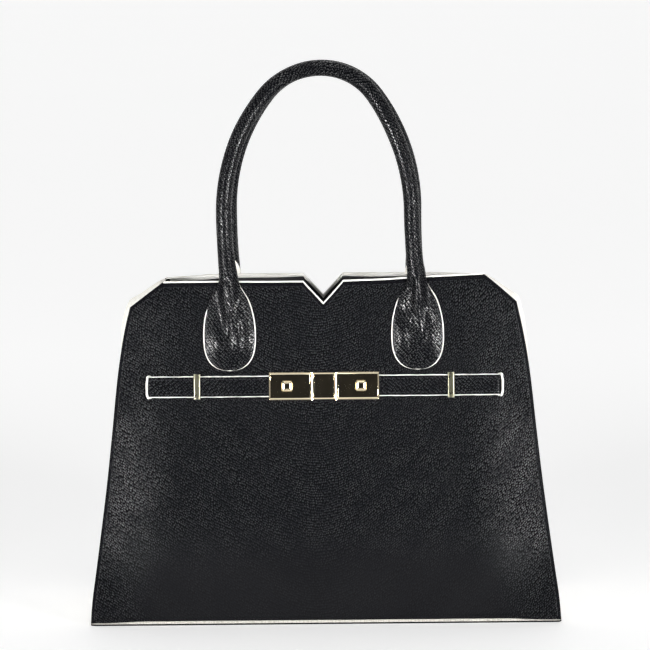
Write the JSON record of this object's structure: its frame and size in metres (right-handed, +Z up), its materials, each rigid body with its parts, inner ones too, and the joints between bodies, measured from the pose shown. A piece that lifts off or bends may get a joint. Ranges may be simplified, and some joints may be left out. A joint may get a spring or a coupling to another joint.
{
  "type": "top handle bag",
  "caption": "Structured leather tote with slanted sides, a notched top edge, rolled handles on tabs, and a front belt with keepers and a plate clasp with turn knobs.",
  "frame": {"origin": "on the floor under the middle of the bag's box", "axes": "+Z up, -Y towards the front with the belt, +X to the right seen from the front"},
  "size_m": [0.358, 0.131, 0.4246],
  "materials": {
    "black_leather": "fine pebbled grain, semi-matt",
    "cream_leather": "smooth, semi-matt",
    "edge_binding": "smooth edge paint",
    "lining_cloth": "fine black twill",
    "board": "pressed fibre",
    "rope": "twisted cotton rope",
    "pale_gold": "polished pale gold plating",
    "snap_steel": "satin"
  },
  "bodies": {
    "bag": {"base_sole": "black_leather", "base_panel": "cream_leather", "floor_board": "board", "floor_lining": "lining_cloth", "front_panel": "black_leather", "back_panel": "black_leather", "front_board": "board", "back_board": "board", "front_lining": "lining_cloth", "back_lining": "lining_cloth", "left_gusset": "cream_leather", "right_gusset": "cream_leather", "front_binding": "edge_binding", "back_binding": "edge_binding", "front_snap": "snap_steel", "back_snap": "snap_steel", "front_left_tab": "black_leather", "front_right_tab": "black_leather", "back_left_tab": "black_leather", "back_right_tab": "black_leather", "left_strap": "black_leather", "right_strap": "black_leather", "left_backing_plate": "pale_gold", "right_backing_plate": "pale_gold", "centre_plate": "pale_gold", "clasp_rivets": "pale_gold", "left_hinge_pin": "pale_gold", "right_hinge_pin": "pale_gold"},
    "front_handle": {"front_handle": "black_leather", "front_handle_core": "rope"},
    "back_handle": {"back_handle": "black_leather", "back_handle_core": "rope"},
    "left_plate": {"left_plate": "pale_gold"},
    "right_plate": {"right_plate": "pale_gold"},
    "left_knob": {"left_knob": "pale_gold", "left_knob_disc": "pale_gold"},
    "right_knob": {"right_knob": "pale_gold", "right_knob_disc": "pale_gold"},
    "left_keeper": {"left_keeper": "pale_gold"},
    "right_keeper": {"right_keeper": "pale_gold"}
  },
  "joints": [
    {"name": "front_handle_swing", "type": "hinge", "parent": "bag", "child": "front_handle", "pos_m": [0, -0.02805, 0.26453], "axis": [1, 0, 0], "range_deg": [0, 85]},
    {"name": "back_handle_swing", "type": "hinge", "parent": "bag", "child": "back_handle", "pos_m": [0, 0.02805, 0.26453], "axis": [-1, 0, 0], "range_deg": [0, 85]},
    {"name": "left_plate_hinge", "type": "hinge", "parent": "bag", "child": "left_plate", "pos_m": [-0.009, -0.04396, 0.17964], "axis": [0, 0.1477, 0.989], "range_deg": [0, 95]},
    {"name": "right_plate_hinge", "type": "hinge", "parent": "bag", "child": "right_plate", "pos_m": [0.009, -0.04396, 0.17964], "axis": [0, -0.1477, -0.989], "range_deg": [0, 95]},
    {"name": "left_knob_turn", "type": "hinge", "parent": "left_plate", "child": "left_knob", "pos_m": [-0.028, -0.04356, 0.17959], "axis": [0, -0.989, 0.1477], "range_deg": [0, 90]},
    {"name": "right_knob_turn", "type": "hinge", "parent": "right_plate", "child": "right_knob", "pos_m": [0.028, -0.04356, 0.17959], "axis": [0, -0.989, 0.1477], "range_deg": [0, 90]},
    {"name": "left_keeper_slide", "type": "slide", "parent": "bag", "child": "left_keeper", "axis": [1, 0, 0], "range_m": [-0.031, 0.05]},
    {"name": "right_keeper_slide", "type": "slide", "parent": "bag", "child": "right_keeper", "axis": [-1, 0, 0], "range_m": [-0.031, 0.05]}
  ]
}
